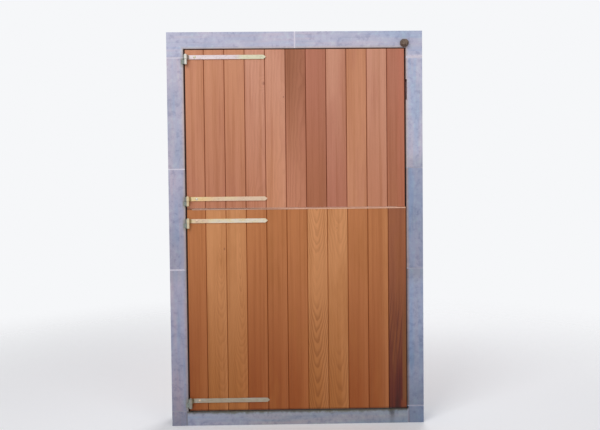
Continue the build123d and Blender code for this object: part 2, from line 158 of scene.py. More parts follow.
def times(tree, result, *others):
    """Values multiplied together."""
    for other in others:
        result = calc(tree, "MULTIPLY", result, other)
    return result


def hypotenuse(tree, a, b):
    """Distance made up of a and b at right angles."""
    return calc(tree, "SQRT", plus(tree, times(tree, a, a), times(tree, b, b)))


def step(tree, value, low, high, to_low=0.0, to_high=1.0):
    """Smooth change from to_low to to_high as value goes from low to high."""
    sockets = {0: value, 1: low, 2: high, 3: to_low, 4: to_high}
    return put(tree, "ShaderNodeMapRange", sockets, interpolation_type="SMOOTHSTEP").outputs[0]


def mix(tree, factor, a, b, blend="MIX"):
    """Two colours mixed by a factor."""
    sockets = {0: factor, 6: a, 7: b}
    return put(tree, "ShaderNodeMix", sockets, data_type="RGBA", blend_type=blend).outputs[2]


def mark(tree, colour, tone, *masks, strength=1.0):
    """Colour covered by a tone where all the masks are."""
    if strength < 1:
        masks += (strength,)
    return mix(tree, times(tree, *masks), colour, tone)


def tint(tree, colour, by, *masks):
    """Colour multiplied by another where all the masks are."""
    return mix(tree, times(tree, *masks), colour, (*by, 1.0), "MULTIPLY")


def layered(tree, colour, sources, layers):
    """Tints laid over a colour: each has its source, the values where it starts and is full, and a
    tint."""
    for source, start, full, by in layers:
        colour = tint(tree, colour, by, step(tree, sources[source], start, full))
    return colour


def noise(tree, vector, scale, detail=2.0, roughness=0.5, distortion=0.0):
    """Noise from 0 to 1."""
    sockets = {"Vector": vector, "Scale": scale, "Detail": detail, "Roughness": roughness,
               "Distortion": distortion}
    return put(tree, "ShaderNodeTexNoise", sockets).outputs["Fac"]


def drawn_noise(tree, vector, scale, detail=2.0, roughness=0.5, offset=(0.0, 0.0, 0.0)):
    """Noise drawn out by its own scale along each axis, after an offset."""
    moved = put(tree, "ShaderNodeVectorMath", {0: vector, 1: offset}, operation="ADD").outputs[0]
    drawn = put(tree, "ShaderNodeVectorMath", {0: moved, 1: scale}, operation="MULTIPLY").outputs[0]
    return noise(tree, drawn, 1.0, detail, roughness)


def split(tree, vector):
    """A vector's X, Y and Z."""
    return put(tree, "ShaderNodeSeparateXYZ", {0: vector}).outputs


def new_group(name, inputs, outputs):
    """Empty shader group that takes a vector and some numbers and gives numbers. inputs maps the
    numbers' names to their defaults. Returns the group, what it is given and its output node."""
    tree = bpy.data.node_groups.new(name, "ShaderNodeTree")
    tree.interface.new_socket("Vector", in_out="INPUT", socket_type="NodeSocketVector")
    for label, default in inputs.items():
        socket = tree.interface.new_socket(label, in_out="INPUT", socket_type="NodeSocketFloat")
        socket.default_value = default
    for label in outputs:
        tree.interface.new_socket(label, in_out="OUTPUT", socket_type="NodeSocketFloat")
    return tree, tree.nodes.new("NodeGroupInput").outputs, tree.nodes.new("NodeGroupOutput")


def use_group(tree, group, sockets):
    """Places a group in a material and returns its outputs."""
    made = tree.nodes.new("ShaderNodeGroup")
    made.node_tree = group
    plug(tree, made, sockets)
    return made.outputs


def seeded(tree, given):
    """A group's Vector moved by its Seed."""
    own = put(tree, "ShaderNodeCombineXYZ", {0: given["Seed"], 1: given["Seed"], 2: given["Seed"]})
    return put(tree, "ShaderNodeVectorMath", {0: given["Vector"], 1: own.outputs[0]},
               operation="ADD").outputs[0]


def centred_noise(tree, vector, scale):
    """Drawn out noise from about -0.5 to 0.5."""
    return less(tree, drawn_noise(tree, vector, scale), 0.5)


# Effects that several finishes share

SWAY = 0.030            # how far noise bends a board's rings, in metres
SWELL = 0.014
RIPPLE = 0.9            # and in rings
KNOT_BEND = 2.6
KNOT_SLIMNESS = 0.62    # a knot's width for its height


def cedar_group():
    """Cedar's figure on a board: growth rings cut from a tapering log that leans to it, streaks and
    fibre."""
    inputs = {"Middle": 0.0, "Pith Side": 0.0, "Pith Depth": 0.1, "Lean": 0.02, "Taper": 0.0,
              "Ring Width": 0.005, "Knot X": 0.0, "Knot Z": -9.0, "Knot Size": 0.01, "Seed": 0.0}
    tree, given, out = new_group("cedar_figure", inputs,
                                 ("Rings", "Streaks", "Fibre", "Patches", "Knot"))
    x, y, z = split(tree, given["Vector"])
    moved = seeded(tree, given)
    sway = centred_noise(tree, moved, (6.0, 6.0, 2.2))
    swell = centred_noise(tree, moved, (13.0, 13.0, 6.5))
    ripple = centred_noise(tree, moved, (30.0, 30.0, 9.0))

    # Distance from the knot, in knot sizes
    knot_x = calc(tree, "DIVIDE", less(tree, x, given["Knot X"]), given["Knot Size"])
    knot_z = calc(tree, "DIVIDE", less(tree, z, given["Knot Z"]), given["Knot Size"])
    away = hypotenuse(tree, knot_x, times(tree, knot_z, KNOT_SLIMNESS))
    away = plus(tree, away, times(tree, ripple, 0.6))
    bend = step(tree, away, 0.6, 5.5, 1.0, 0.0)

    # Distance from the log's pith, in rings
    across = less(tree, less(tree, x, given["Middle"]), given["Pith Side"])
    across = plus(tree, across, times(tree, sway, SWAY))
    deep = plus(tree, less(tree, y, FACE_Y), given["Pith Depth"])
    deep = plus(tree, deep, times(tree, z, given["Lean"]))
    deep = plus(tree, deep, times(tree, sway, SWAY))
    deep = plus(tree, deep, times(tree, swell, SWELL))
    radius = less(tree, hypotenuse(tree, across, deep), times(tree, z, given["Taper"]))
    turns = calc(tree, "DIVIDE", radius, given["Ring Width"])
    turns = plus(tree, turns, times(tree, ripple, RIPPLE))
    turns = plus(tree, turns, times(tree, bend, KNOT_BEND))
    part = calc(tree, "FRACT", plus(tree, turns, given["Seed"]))
    plug(tree, out, {
        "Rings": times(tree, step(tree, part, 0.25, 0.80), step(tree, part, 0.86, 1.0, 1.0, 0.0)),
        "Streaks": drawn_noise(tree, moved, (46.0, 46.0, 0.8), 4.0, 0.6),
        "Fibre": drawn_noise(tree, moved, (420.0, 420.0, 7.0), 3.0, 0.6),
        "Patches": drawn_noise(tree, moved, (11.0, 11.0, 2.6), 3.0, 0.55),
        "Knot": step(tree, away, 0.55, 1.15, 1.0, 0.0),
    })
    return tree


def mottle_group():
    """Cloudy stone, mortar or rust: clouds, blotches, grit and pits at four sizes."""
    tree, given, out = new_group("mottle", {"Scale": 1.0, "Seed": 0.0},
                                 ("Clouds", "Blotches", "Grit", "Pits"))
    sized = put(tree, "ShaderNodeVectorMath", {0: seeded(tree, given), "Scale": given["Scale"]},
                operation="SCALE").outputs[0]
    pits = put(tree, "ShaderNodeTexVoronoi", {"Vector": sized, "Scale": 90.0}).outputs["Distance"]
    plug(tree, out, {
        "Clouds": noise(tree, sized, 5.0, 3.0, 0.55, 0.4),
        "Blotches": noise(tree, sized, 32.0, 5.0, 0.66, 0.3),
        "Grit": noise(tree, sized, 300.0, 3.0, 0.7),
        "Pits": step(tree, pits, 0.02, 0.16, 1.0, 0.0),
    })
    return tree


CEDAR = cedar_group()
MOTTLE = mottle_group()


def principled(name):
    """New material: returns it with its tree, its shader and its Object coordinates."""
    made = bpy.data.materials.new(name)
    made.use_nodes = True
    tree = made.node_tree
    shader = next(n for n in tree.nodes if n.type == "BSDF_PRINCIPLED")
    place = put(tree, "ShaderNodeTexCoord", {}).outputs["Object"]
    return made, tree, shader, place


def bump(tree, shader, height, depth):
    """Relief of the given depth in metres."""
    made = put(tree, "ShaderNodeBump", {"Height": height, "Distance": depth, "Strength": 1.0})
    plug(tree, shader, {"Normal": made.outputs[0]})


def dress(node, material):
    """Gives a frame node its finish."""
    piece = NODES[node]
    if piece.material_slots:
        for slot in piece.material_slots:
            slot.material = material
    else:
        piece.data.materials.append(material)


# Cedar

# Tones of oiled cedar, light to dark
CEDAR_TONES = {
    "blush": srgb(209, 148, 121),
    "peach": srgb(206, 141, 105),
    "honey": srgb(210, 145, 94),
    "rose": srgb(196, 130, 98),
    "clay": srgb(187, 119, 94),
    "amber": srgb(192, 122, 72),
    "terracotta": srgb(176, 109, 76),
    "brick": srgb(196, 108, 82),
    "toffee": srgb(168, 103, 47),
    "umber": srgb(161, 100, 70),
    "sienna": srgb(156, 92, 58),
    "chestnut": srgb(151, 78, 26),
    "walnut": srgb(106, 46, 14),
}
KNOT_TONE = srgb(120, 62, 44)

# Each board's tones at its top, at its bottom and towards its right edge, its figure and how strong
# the rings are. The upper leaf is pinker, and the lower leaf darkens towards the ground; from top to
# bottom the tones are partly the wood's own and partly painted light, a sky sheen at the tops and shade
# below.
BOARDS = {
    "upper": (
        ("peach", "rose", "peach", "straight", 0.10), ("peach", "rose", "rose", "straight", 0.13),
        ("peach", "rose", "peach", "straight", 0.10), ("blush", "rose", "blush", "wavy", 0.07),
        ("blush", "peach", "blush", "wavy", 0.06), ("umber", "rose", "clay", "wavy", 0.10),
        ("clay", "terracotta", "umber", "straight", 0.14),
        ("blush", "clay", "terracotta", "straight", 0.12),
        ("peach", "peach", "peach", "straight", 0.12), ("blush", "rose", "blush", "straight", 0.09),
        ("clay", "terracotta", "brick", "straight", 0.12),
    ),
    "lower": (
        ("amber", "chestnut", "amber", "straight", 0.10), ("honey", "toffee", "honey", "flame", 0.09),
        ("honey", "toffee", "amber", "flame", 0.10), ("amber", "chestnut", "amber", "straight", 0.10),
        ("amber", "chestnut", "amber", "straight", 0.12),
        ("amber", "chestnut", "amber", "straight", 0.10),
        ("honey", "toffee", "honey", "cathedral", 0.24), ("honey", "toffee", "honey", "peaked", 0.15),
        ("amber", "chestnut", "amber", "straight", 0.10),
        ("amber", "chestnut", "honey", "straight", 0.12),
        ("sienna", "walnut", "sienna", "straight", 0.12),
    ),
}

# Each leaf's heights, the tone that drifts over its boards, the tint in its V joints and its seed
LEAF_LOOKS = {
    "upper": (UPPER_BOTTOM, UPPER_TOP, "clay", (0.64, 0.48, 0.37), 0.0),
    "lower": (LOWER_BOTTOM, LOWER_TOP, "toffee", (0.76, 0.60, 0.46), 7.1),
}
BOARD_SEED = 1.37       # from one board to the next

# How each figure is sawn from its log
FIGURES = {
    "straight": {"Pith Side": 0.24, "Pith Depth": 0.14, "Lean": 0.004, "Ring Width": 0.0062},
    "wavy": {"Pith Side": 0.05, "Pith Depth": 0.08, "Lean": 0.02, "Ring Width": 0.0085},
    "flame": {"Pith Side": 0.02, "Pith Depth": 0.10, "Lean": -0.085, "Ring Width": 0.0060},
    "cathedral": {"Pith Side": -0.008, "Pith Depth": 0.026, "Lean": 0.0, "Taper": 0.140,
                  "Ring Width": 0.0105},
    "peaked": {"Pith Side": 0.005, "Pith Depth": 0.034, "Lean": 0.0, "Taper": 0.120,
               "Ring Width": 0.0120},
}

# Heights between which a board's rings are faint
PLAIN_SPANS = {("lower", 7): (0.72, 1.02), ("lower", 8): (0.42, 1.02)}

# Knots: leaf and board, then where they are and their half width
KNOTS = {
    ("upper", 4): (-0.186, 2.050, 0.007),
    ("upper", 5): (-0.069, 1.969, 0.005),
    ("lower", 2): (-0.432, 1.066, 0.006),
    ("lower", 8): (0.243, 1.184, 0.003),
}

# The stained board's wet streaks, veins, edge and foot, and the rust by its foot
WET_TONE = srgb(86, 22, 8)
VEIN_TONE = srgb(76, 24, 14)
DRY_EDGE_TONE = srgb(116, 70, 28)
SOOT_TONE = srgb(52, 13, 2)
RUST_TONE = srgb(118, 54, 24)


def cedar_colour(tree, wood, colour, rings, marked=None):
    """Cedar's streaks, rings and fibre laid over a tone. marked says where the rings are strong."""
    colour = layered(tree, colour, wood, (("Streaks", 0.46, 0.70, (0.86, 0.80, 0.72)),
                                          ("Streaks", 0.46, 0.28, (1.06, 1.07, 1.10))))
    late = (wood["Rings"], marked) if marked else (wood["Rings"],)
    colour = tint(tree, colour, (1 - rings, 1 - 1.25 * rings, 1 - 1.5 * rings), *late)
    return layered(tree, colour, wood, (("Fibre", 0.48, 0.74, (0.92, 0.89, 0.86)),))


def cedar_surface(tree, shader, colour, wood):
    """The colour under satin oil, over fine relief."""
    plug(tree, shader, {"Base Color": colour, "Specular IOR Level": 0.35,
                        "Roughness": step(tree, wood["Fibre"], 0.3, 0.8, 0.44, 0.60)})
    height = less(tree, times(tree, wood["Fibre"], 0.5), times(tree, wood["Rings"], 0.25))
    bump(tree, shader, height, depth=0.0003)


def water_stain(tree, colour, x, z, wood):
    """The lower leaf's last board: wet purple streaks and veins from below, dry along its free edge,
    with soot and rust at its foot."""
    ragged = plus(tree, z, times(tree, less(tree, wood["Streaks"], 0.5), 1.3))
    rightward = less(tree, x, (STAIN_LEFT + RIGHT_EDGE) / 2)
    ragged = less(tree, ragged, times(tree, rightward, 2.6))
    clear = step(tree, x, RIGHT_EDGE - 0.030, RIGHT_EDGE - 0.018, 1.0, 0.12)
    colour = mark(tree, colour, WET_TONE, step(tree, ragged, 0.72, 0.16), clear,
                  step(tree, x, STAIN_LEFT, STAIN_LEFT + 0.03, 0.55, 1.0))
    leaning = put(tree, "ShaderNodeCombineXYZ",
                  {0: less(tree, x, times(tree, z, 0.10)), 2: z}).outputs[0]
    veins = drawn_noise(tree, leaning, (120.0, 1.0, 1.4), 3.0, 0.6, (0.37, 0.0, 0.0))
    colour = mark(tree, colour, VEIN_TONE, step(tree, veins, 0.46, 0.62), step(tree, z, 0.92, 0.62),
                  step(tree, z, 0.20, 0.45, 0.5, 1.0), clear, strength=0.60)
    colour = mark(tree, colour, DRY_EDGE_TONE, step(tree, x, RIGHT_EDGE - 0.032, RIGHT_EDGE - 0.014),
                  step(tree, z, 0.95, 0.45), strength=0.75)
    colour = mark(tree, colour, SOOT_TONE, step(tree, ragged, 0.36, 0.10),
                  step(tree, x, STAIN_LEFT + 0.080, STAIN_LEFT + 0.050),
                  step(tree, x, STAIN_LEFT + 0.012, STAIN_LEFT + 0.030, 0.2, 1.0), strength=0.80)
    return mark(tree, colour, RUST_TONE, step(tree, z, 0.155, 0.12),
                step(tree, x, STAIN_LEFT + 0.066, STAIN_LEFT + 0.078), strength=0.8)


def plain_rings(tree, z, low_z, high_z):
    """Strength of the rings on a board that is plain between two heights."""
    return calc(tree, "MAXIMUM", step(tree, z, low_z + 0.08, low_z - 0.08, 0.20, 1.0),
                step(tree, z, high_z - 0.05, high_z + 0.05, 0.20, 0.60))


def cedar_finish(leaf, number, board):
    """Oiled cedar of one board, with its knot or stain and its dark V joints."""
    made, tree, shader, place = principled(f"{leaf}_cedar_{number:02d}")
    top, bottom, right, figure, rings = board
    leaf_bottom, leaf_top, drift, joint_tint, leaf_seed = LEAF_LOOKS[leaf]
    low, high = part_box(board_node(leaf, number))
    middle = (low.x + high.x) / 2
    sockets = dict(FIGURES[figure], Vector=place, Middle=middle, Seed=number * BOARD_SEED + leaf_seed)
    knot = KNOTS.get((leaf, number))
    if knot:
        sockets.update(zip(("Knot X", "Knot Z", "Knot Size"), knot))
    wood = use_group(tree, CEDAR, sockets)
    x, y, z = split(tree, place)
    # Top to bottom: partly the wood's own tones, partly a painted sheen of sky at the top and painted
    # shade lower down
    colour = mix(tree, step(tree, z, leaf_bottom, leaf_top), CEDAR_TONES[bottom], CEDAR_TONES[top])
    side = step(tree, x, middle - 0.01, high.x - 0.01, 0.0, 0.6)
    colour = mix(tree, side, colour, mix(tree, 0.5, colour, CEDAR_TONES[right]))
    patches = step(tree, wood["Patches"], 0.46, 0.72, 0.0, 0.35)
    colour = mix(tree, patches, colour, CEDAR_TONES[drift])
    span = PLAIN_SPANS.get((leaf, number))
    colour = cedar_colour(tree, wood, colour, rings, plain_rings(tree, z, *span) if span else None)
    if knot:
        colour = mark(tree, colour, KNOT_TONE, wood["Knot"], strength=0.5)
    if (leaf, number) == ("lower", BOARD_COUNT):
        colour = water_stain(tree, colour, x, z, wood)
    colour = tint(tree, colour, joint_tint, step(tree, y, FACE_Y + 0.0004, FACE_Y + 0.0020),
                  step(tree, y, BACK_Y - 0.0016, BACK_Y - 0.0006, 1.0, 0.0))
    # Darker along the lower leaf's foot, over its last few millimetres
    if leaf == "lower":
        colour = tint(tree, colour, (0.55, 0.52, 0.46),
                      step(tree, z, LOWER_BOTTOM + 0.012, LOWER_BOTTOM + 0.002))
    cedar_surface(tree, shader, colour, wood)
    return made


def framing_finish(name, turn, seed):
    """Oiled cedar of the ledges and braces, whose grain runs along the piece."""
    made, tree, shader, place = principled(name)
    turned = put(tree, "ShaderNodeMapping", {"Vector": place, "Rotation": (0.0, turn, 0.0)}).outputs[0]
    wood = use_group(tree, CEDAR, dict(FIGURES["straight"], Vector=turned, Seed=seed))
    colour = mix(tree, step(tree, wood["Patches"], 0.38, 0.66), CEDAR_TONES["peach"],
                 CEDAR_TONES["amber"])
    cedar_surface(tree, shader, cedar_colour(tree, wood, colour, rings=0.16), wood)
    return made


def brace_line(node):
    """A brace's middle line: its middle, and its rise for each metre across."""
    low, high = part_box(node)
    return (low + high) / 2, (high.z - low.z) / (high.x - low.x - BRACE_WIDTH)


LEDGES = ("upper_top_ledge", "upper_bottom_ledge", "lower_top_ledge", "lower_middle_ledge",
          "lower_bottom_ledge")
BRACES = ("upper_brace", "lower_bottom_brace", "lower_top_brace")
LEDGE_SEED = 3.1
BRACE_SEED = 11.7

for leaf in LEAVES:
    for number, board in enumerate(BOARDS[leaf], 1):
        dress(board_node(leaf, number), cedar_finish(leaf, number, board))
for number, node in enumerate(LEDGES):
    dress(node, framing_finish(f"cedar_ledge_{number + 1}", math.pi / 2, LEDGE_SEED + number))
for number, node in enumerate(BRACES):
    tilt = math.pi / 2 + math.atan(brace_line(node)[1])
    dress(node, framing_finish(f"cedar_brace_{number + 1}", tilt, BRACE_SEED + number))

# Stone

STONE_TONES = {
    "silver": srgb(192, 191, 211),
    "lilac": srgb(190, 184, 201),
    "mist": srgb(173, 170, 190),
    "dusk": srgb(168, 164, 184),
    "blue": srgb(154, 160, 184),
    "steel": srgb(147, 156, 181),
    "slate": srgb(159, 157, 167),
    "lead": srgb(144, 141, 157),
    "ink": srgb(126, 136, 159),
}

# How the bed's lines and the bands of hue are drawn out, in stones that stand and in those that lie
STANDING = ((26.0, 26.0, 6.0), (24.0, 24.0, 1.8))
LYING = ((3.0, 3.0, 70.0), (1.5, 1.5, 24.0))

# Each stone's tone, how much paler it is at its head than at its middle, and how it is laid. The paler
# head and darker foot are painted light that falls off towards the ground.
STONES = {
    "lintel_left": ("silver", 0.0, LYING), "lintel_right": ("silver", 0.0, LYING),
    "left_jamb_upper": ("lilac", 0.05, STANDING), "left_jamb_middle": ("mist", 0.11, STANDING),
    "left_jamb_lower": ("dusk", 0.10, STANDING), "right_jamb_upper": ("silver", 0.02, STANDING),
    "right_jamb_middle": ("blue", 0.06, STANDING), "right_jamb_lower": ("steel", 0.17, STANDING),
    "left_plinth": ("lead", 0.0, STANDING), "right_plinth": ("ink", 0.0, STANDING),
    "threshold": ("slate", 0.0, LYING),
}
STONE_SEED = 2.3        # from one stone to the next

STONE_LAYERS = (
    ("Clouds", 0.42, 0.68, (0.86, 0.91, 0.94)),
    ("Hue", 0.50, 0.66, (0.86, 0.96, 1.02)),
    ("Hue", 0.48, 0.34, (1.09, 1.01, 0.97)),
    ("Blotches", 0.51, 0.66, (0.80, 0.81, 0.86)),
    ("Blotches", 0.48, 0.35, (1.07, 1.13, 1.06)),
    ("Bed", 0.50, 0.72, (0.86, 0.88, 0.89)),
    ("Grit", 0.54, 0.80, (0.82, 0.82, 0.82)),
)
PIT_TINT = (0.80, 0.80, 0.80)
FOOT_DARKENING_SPAN = (0.34, 0.09)      # heights down which the lower stones darken

# Stones with painted shade towards a joint: the end at that joint, and the tint there
BED_SHADE = {
    "right_jamb_upper": ("foot", (0.80, 0.82, 0.82)),
    "right_jamb_lower": ("head", (0.91, 0.86, 0.80)),
    "left_jamb_lower": ("head", (0.83, 0.89, 0.88)),
}

# How pale the mortar's smears are on a stone, beside the joint at its foot and at its head
SMEARS = {
    "left_jamb_upper": (0.30, 0.20), "left_jamb_middle": (0.40, 0.25), "left_jamb_lower": (0.05, 0.35),
    "right_jamb_upper": (0.0, 0.35), "right_jamb_middle": (0.05, 0.0), "right_jamb_lower": (0.18, 0.03),
    "left_plinth": (0.0, 0.03), "right_plinth": (0.0, 0.16),
}
# How far they reach above the lintel's ears, and how pale they are
LINTEL_SMEARS = {"lintel_left": (0.004, 0.25), "lintel_right": (0.014, 1.0)}
SMEAR_TONE = srgb(228, 222, 236)

# How pale a stone's inner arris is, and how the cedar's tannin has stained it
UPPER_ARRIS = (0.40, (1.02, 0.96, 0.88))
ARRISES = {
    "left_jamb_middle": (0.30, (1.00, 0.92, 0.82)), "right_jamb_middle": (0.20, (1.06, 0.82, 0.66)),
    "left_jamb_lower": (0.15, (1.00, 0.90, 0.80)), "right_jamb_lower": (0.0, (1.03, 0.80, 0.68)),
    "left_plinth": (0.15, (1.00, 0.90, 0.80)), "right_plinth": (0.0, (1.03, 0.80, 0.68)),
}
PALE_ARRIS_TONE = srgb(196, 186, 190)
# Painted shade of the gap beside the leaves, laid along the stones' arris: its tint, and how far it
# reaches
GAP_SHADE_TINT = (0.55, 0.45, 0.38)
GAP_SHADE_REACH = 0.006
WIDE_GAP_SHADE_REACH = 0.014        # on the lower stone of the right jamb

FACE_EASE = 0.006               # depth to which marks of the face are whole, and where they end
FACE_FADE = 0.012

# Painted shade on the stones' faces inside the opening
OPENING_SHADE_TINT = (0.34, 0.22, 0.17)       # on the stones' faces that look into the opening
# The notch's darker bottom tone is painted shade
NOTCH_TONES = (srgb(186, 168, 172), srgb(104, 60, 56))      # at its rim and at its bottom
HINGE_MARK_TONE = srgb(150, 148, 136)
HINGE_MARK_REACH = 0.06             # above and below a strap's middle line

# The threshold's marks
RUN_X = 0.566           # middle of the dark run below the stained board
RUN_TONE = srgb(62, 60, 64)
ALGAE_TONE = srgb(112, 116, 96)
DIRT_TONE = srgb(72, 62, 46)


def on_face(tree, y):
    """Mask of the stones' outside face with its eased edge."""
    return step(tree, y, STONE_Y + FACE_FADE, STONE_Y + FACE_EASE)


def in_opening(tree, y, start, full):
    """Mask of the faces inside the opening, as far as the face that the leaves close against. start
    and full are depths behind the stones' outside face."""
    return times(tree, step(tree, y, STONE_Y + start, STONE_Y + full),
                 step(tree, y, REBATE_Y + 0.004, REBATE_Y + 0.001))


def drip_marks(tree, colour, where, stone):
    """The threshold: bluer to the left, darker to the right, a dark run below the stained board, and
    green and dirt along its top edge."""
    x, y, z = where
    colour = tint(tree, colour, (0.98, 1.05, 1.17), step(tree, x, -0.15, -0.50))
    colour = tint(tree, colour, (0.78, 0.88, 0.93), step(tree, x, 0.20, 0.55))
    wander = times(tree, less(tree, stone["Blotches"], 0.5), 0.05)
    aside = calc(tree, "ABSOLUTE", plus(tree, less(tree, x, RUN_X), wander))
    colour = mark(tree, colour, RUN_TONE, step(tree, aside, 0.026, 0.004),
                  step(tree, z, 0.022, 0.075, 0.35, 1.0), strength=0.80)
    front = on_face(tree, y)
    colour = mark(tree, colour, ALGAE_TONE,
                  step(tree, plus(tree, z, wander), THRESHOLD_TOP - 0.022, THRESHOLD_TOP - 0.006),
                  step(tree, stone["Clouds"], 0.35, 0.60, 0.35, 0.75),
                  plus(tree, times(tree, front, 0.6), 0.4))
    darkening = step(tree, plus(tree, z, times(tree, wander, 0.25)), THRESHOLD_TOP - 0.013,
                THRESHOLD_TOP - 0.002)
    return mark(tree, colour, DIRT_TONE, darkening, front, strength=0.75)


def joint_smears(tree, node, x, z, place):
    """Where mortar is smeared over a stone's edges beside its joints. The threshold has none."""
    low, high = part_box(node)
    if node in LINTEL_SMEARS:
        reach, amount = LINTEL_SMEARS[node]
        joint_x, inward = (high.x, -1) if node == "lintel_left" else (low.x, 1)
        ends = (step(tree, z, LINTEL_EARS + reach + 0.005, LINTEL_EARS + reach, 0.0, amount),
                step(tree, x, joint_x + inward * 0.006, joint_x + inward * 0.002, 0.0, 0.4))
    else:
        foot, head = SMEARS[node]
        ends = (step(tree, z, low.z + 0.006, low.z + 0.001, 0.0, foot),
                step(tree, z, high.z - 0.006, high.z - 0.001, 0.0, head))
    return times(tree, calc(tree, "MAXIMUM", *ends),
                 step(tree, noise(tree, place, 60.0), 0.3, 0.6, 0.5, 1.0))


def hinge_marks(tree, node, colour, x, z, front):
    """Grey-green marks on the arris beside the hinges, where the left jamb's stones carry the hinges'
    tangs.
    """
    low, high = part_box(node)
    for end in STRAP_ENDS:
        strap_z = middle_z(f"{end}_strap")
        if low.z - HINGE_MARK_REACH < strap_z < high.z + HINGE_MARK_REACH:
            colour = mark(tree, colour, HINGE_MARK_TONE, front,
                          step(tree, x, -ARRIS_X - 0.026, -ARRIS_X - 0.006),
                          step(tree, z, strap_z - 0.066, strap_z - 0.046),
                          step(tree, z, strap_z + 0.024, strap_z + 0.004), strength=0.65)
    return colour


def arris_marks(tree, node, colour, where, outside):
    """A jamb's or the lintel's arris: paler, stained, and darkened along its edge by painted shade of
    the gap beside the leaves. outside is the distance from it.
    """
    x, y, z = where
    front = on_face(tree, y)
    paleness, tannin = ARRISES.get(node, UPPER_ARRIS)
    colour = mark(tree, colour, PALE_ARRIS_TONE, front, step(tree, outside, 0.016, 0.007, 0.0, paleness))
    colour = tint(tree, colour, tannin, front, step(tree, outside, 0.022, 0.006))
    if node.startswith("left"):
        colour = hinge_marks(tree, node, colour, x, z, front)
    # Painted shade of the gap beside the leaves, along the arris
    reach = WIDE_GAP_SHADE_REACH if node == "right_jamb_lower" else GAP_SHADE_REACH
    return tint(tree, colour, GAP_SHADE_TINT, front, step(tree, outside, reach, 0.001))


def notch_marks(tree, colour, where):
    """Faces of the notch in the right jamb's arris, darker towards its bottom as painted shade."""
    x, y, z = where
    inside = times(tree, step(tree, y, STONE_Y + 0.001, STONE_Y + 0.003),
                   step(tree, y, STONE_Y + 0.034, STONE_Y + 0.031),
                   step(tree, z, NOTCH_SPAN[0] - 0.0015, NOTCH_SPAN[0] - 0.0005),
                   step(tree, z, NOTCH_SPAN[1] + 0.0015, NOTCH_SPAN[1] + 0.0005),
                   step(tree, x, ARRIS_X + 0.0085, ARRIS_X + 0.0082))
    deep = step(tree, x, ARRIS_X + 0.0068, ARRIS_X + 0.0045)
    return mix(tree, inside, colour, mix(tree, deep, *NOTCH_TONES))


def stone_body(tree, node, stone, place, z, seed):
    """A stone's colour away from its edges: cloudy and gritty, drawn out along its bed."""
    tone, paler, (bed_scale, hue_scale) = STONES[node]
    low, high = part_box(node)
    bed = drawn_noise(tree, place, bed_scale, 4.0, 0.62, (seed, 0.0, seed))
    hue = drawn_noise(tree, place, hue_scale, 3.0, 0.55, (seed, seed, 0.0))
    # Painted light and shade: paler towards the head, darker towards the foot
    foot, head = ([value * (1 + lift) for value in STONE_TONES[tone][:3]] + [1.0]
                  for lift in (-paler, paler))
    colour = mix(tree, step(tree, z, low.z, high.z), foot, head)
    if "lower" in node:
        colour = tint(tree, colour, (0.82, 0.82, 0.81), step(tree, z, *FOOT_DARKENING_SPAN))
    colour = layered(tree, colour, dict(stone.items(), Bed=bed, Hue=hue), STONE_LAYERS)
    colour = tint(tree, colour, PIT_TINT, stone["Pits"])
    # Painted shade towards a joint
    if node in BED_SHADE:
        end, darkening = BED_SHADE[node]
        joint_z, up = (low.z, 1) if end == "foot" else (high.z, -1)
        colour = tint(tree, colour, darkening, step(tree, z, joint_z + up * 0.11, joint_z + up * 0.02))
    return colour


def stone_finish(node, seed):
    """Fine-sawn bluestone with the marks of its place in the surround."""
    made, tree, shader, place = principled(f"bluestone_{node}")
    stone = use_group(tree, MOTTLE, {"Vector": place, "Seed": seed})
    where = split(tree, place)
    x, y, z = where
    outside = calc(tree, "MAXIMUM", less(tree, calc(tree, "ABSOLUTE", x), ARRIS_X),
                   less(tree, z, LINTEL_BOTTOM))
    colour = stone_body(tree, node, stone, place, z, seed)
    if node == "threshold":
        colour = drip_marks(tree, colour, where, stone)
    else:
        colour = mark(tree, colour, SMEAR_TONE, joint_smears(tree, node, x, z, place))
        colour = arris_marks(tree, node, colour, where, outside)
    # Painted shade inside the opening, up to the face that the leaves close against
    colour = tint(tree, colour, OPENING_SHADE_TINT, in_opening(tree, y, 0.001, 0.006),
                  step(tree, outside, 0.013, 0.0125))
    if node == "right_jamb_upper":
        colour = notch_marks(tree, colour, where)
    plug(tree, shader, {"Base Color": colour, "Specular IOR Level": 0.3,
                        "Roughness": step(tree, stone["Grit"], 0.3, 0.8, 0.62, 0.82)})
    height = plus(tree, times(tree, stone["Grit"], 0.5), times(tree, stone["Blotches"], 0.8))
    bump(tree, shader, less(tree, height, times(tree, stone["Pits"], 0.3)), depth=0.0007)
    return made


for number, node in enumerate(STONES):
    dress(node, stone_finish(node, STONE_SEED * number))


MORTAR_TONES = (srgb(158, 158, 170), srgb(236, 232, 242))       # low down, and from there up
RIGHT_MORTAR_TONE = srgb(166, 168, 186)
SEAL_TONE = srgb(152, 150, 140)         # round the hinges' tangs


